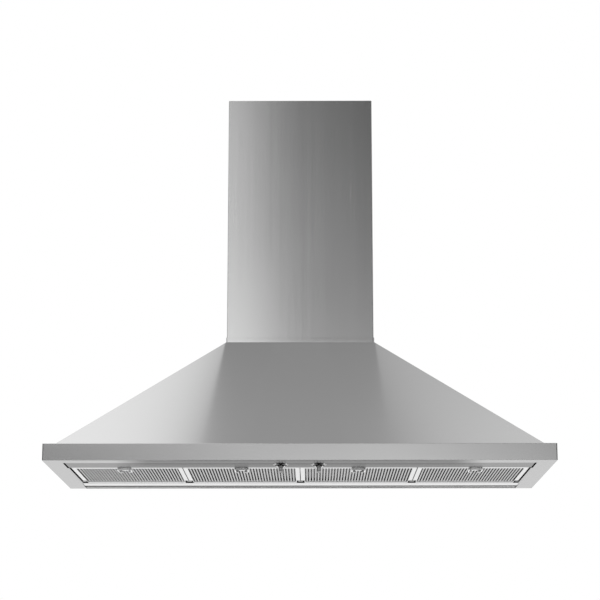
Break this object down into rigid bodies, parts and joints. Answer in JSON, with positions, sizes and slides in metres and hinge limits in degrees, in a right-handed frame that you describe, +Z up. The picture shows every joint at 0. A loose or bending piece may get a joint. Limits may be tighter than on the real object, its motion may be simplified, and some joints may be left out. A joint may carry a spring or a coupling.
{
  "type": "chimney range hood",
  "caption": "Wall-mounted stainless range hood: pyramid canopy, rectangular telescopic chimney, baffle filters with fold-down handles and control knobs below.",
  "frame": {"origin": "on the wall plane, at the middle of the lower edge of the hood's back", "axes": "+X to the right seen from the front, -Y out of the wall towards the cook, +Z up"},
  "size_m": [1.2, 0.5, 0.9774],
  "materials": {
    "brushed_stainless": "brushed stainless sheet, fine vertical grain",
    "satin_stainless": "satin stainless with a bright edge on every fold",
    "polished_steel": "polished",
    "galvanised_sheet": "dull galvanised sheet with a faint spangle",
    "impeller_sheet": "mill finish",
    "motor_paint": "satin black enamel",
    "black_plastic": "moulded, fine texture",
    "circuit_board": "solder mask",
    "capacitor_can": "drawn can",
    "zinc_fasteners": "bright zinc plated"
  },
  "bodies": {
    "hood": {"lip_frame": "brushed_stainless", "canopy_shell": "brushed_stainless", "back_panel": "brushed_stainless", "collar_trim": "brushed_stainless", "lower_chimney": "brushed_stainless", "wall_bracket": "galvanised_sheet", "control_fascia": "brushed_stainless", "rear_rail": "satin_stainless", "side_rail_left": "satin_stainless", "side_rail_right": "satin_stainless", "filter_divider_left": "satin_stainless", "filter_divider_middle": "satin_stainless", "filter_divider_right": "satin_stainless", "knob_bezel_left": "polished_steel", "knob_bezel_right": "polished_steel", "rotary_switch_left": "black_plastic", "rotary_switch_right": "black_plastic", "switch_nuts": "zinc_fasteners", "blower_housing": "galvanised_sheet", "inlet_ring_front": "galvanised_sheet", "inlet_ring_rear": "galvanised_sheet", "motor": "motor_paint", "motor_spider": "galvanised_sheet", "blower_hanger_left": "galvanised_sheet", "blower_hanger_right": "galvanised_sheet", "blower_screws": "zinc_fasteners", "outlet_spigot": "galvanised_sheet", "control_box": "black_plastic", "control_box_lid": "black_plastic", "control_board": "circuit_board", "motor_capacitor": "capacitor_can", "cable_gland": "black_plastic"},
    "upper_chimney": {"upper_chimney": "brushed_stainless", "upper_bracket": "galvanised_sheet"},
    "impeller": {"impeller": "impeller_sheet", "motor_shaft": "polished_steel"},
    "damper_left": {"damper_flap_left": "impeller_sheet"},
    "damper_right": {"damper_flap_right": "impeller_sheet"},
    "knob_left": {"knob_left": "polished_steel", "knob_spindle_left": "zinc_fasteners"},
    "knob_right": {"knob_right": "polished_steel", "knob_spindle_right": "zinc_fasteners"},
    "filter_1": {"filter_frame_1": "satin_stainless", "baffle_pack_1": "satin_stainless"},
    "handle_1": {"filter_handle_1": "polished_steel"},
    "filter_2": {"filter_frame_2": "satin_stainless", "baffle_pack_2": "satin_stainless"},
    "handle_2": {"filter_handle_2": "polished_steel"},
    "filter_3": {"filter_frame_3": "satin_stainless", "baffle_pack_3": "satin_stainless"},
    "handle_3": {"filter_handle_3": "polished_steel"},
    "filter_4": {"filter_frame_4": "satin_stainless", "baffle_pack_4": "satin_stainless"},
    "handle_4": {"filter_handle_4": "polished_steel"}
  },
  "joints": [
    {"name": "chimney_slide", "type": "slide", "parent": "hood", "child": "upper_chimney", "axis": [0, 0, 1], "range_m": [0, 0.4]},
    {"name": "impeller_spin", "type": "hinge", "parent": "hood", "child": "impeller", "pos_m": [-0.0805, -0.14, 0.225], "axis": [0, 1, 0], "continuous": true},
    {"name": "damper_left_hinge", "type": "hinge", "parent": "hood", "child": "damper_left", "pos_m": [-0.0035, -0.14, 0.4], "axis": [0, 1, 0], "range_deg": [0, 80]},
    {"name": "damper_right_hinge", "type": "hinge", "parent": "hood", "child": "damper_right", "pos_m": [0.0035, -0.14, 0.4], "axis": [0, -1, 0], "range_deg": [0, 80]},
    {"name": "knob_left_turn", "type": "hinge", "parent": "hood", "child": "knob_left", "pos_m": [-0.045, -0.424, 0], "axis": [0, 0, 1], "range_deg": [0, 270]},
    {"name": "knob_right_turn", "type": "hinge", "parent": "hood", "child": "knob_right", "pos_m": [0.045, -0.424, 0], "axis": [0, 0, 1], "range_deg": [0, 270]},
    {"name": "filter_1_hinge", "type": "hinge", "parent": "hood", "child": "filter_1", "pos_m": [-0.423, -0.112, 0.0075], "axis": [1, 0, 0], "range_deg": [0, 75]},
    {"name": "handle_1_hinge", "type": "hinge", "parent": "filter_1", "child": "handle_1", "pos_m": [-0.423, -0.3202, -0.001], "axis": [1, 0, 0], "range_deg": [0, 90]},
    {"name": "filter_2_hinge", "type": "hinge", "parent": "hood", "child": "filter_2", "pos_m": [-0.141, -0.112, 0.0075], "axis": [1, 0, 0], "range_deg": [0, 75]},
    {"name": "handle_2_hinge", "type": "hinge", "parent": "filter_2", "child": "handle_2", "pos_m": [-0.141, -0.3202, -0.001], "axis": [1, 0, 0], "range_deg": [0, 90]},
    {"name": "filter_3_hinge", "type": "hinge", "parent": "hood", "child": "filter_3", "pos_m": [0.141, -0.112, 0.0075], "axis": [1, 0, 0], "range_deg": [0, 75]},
    {"name": "handle_3_hinge", "type": "hinge", "parent": "filter_3", "child": "handle_3", "pos_m": [0.141, -0.3202, -0.001], "axis": [1, 0, 0], "range_deg": [0, 90]},
    {"name": "filter_4_hinge", "type": "hinge", "parent": "hood", "child": "filter_4", "pos_m": [0.423, -0.112, 0.0075], "axis": [1, 0, 0], "range_deg": [0, 75]},
    {"name": "handle_4_hinge", "type": "hinge", "parent": "filter_4", "child": "handle_4", "pos_m": [0.423, -0.3202, -0.001], "axis": [1, 0, 0], "range_deg": [0, 90]}
  ]
}
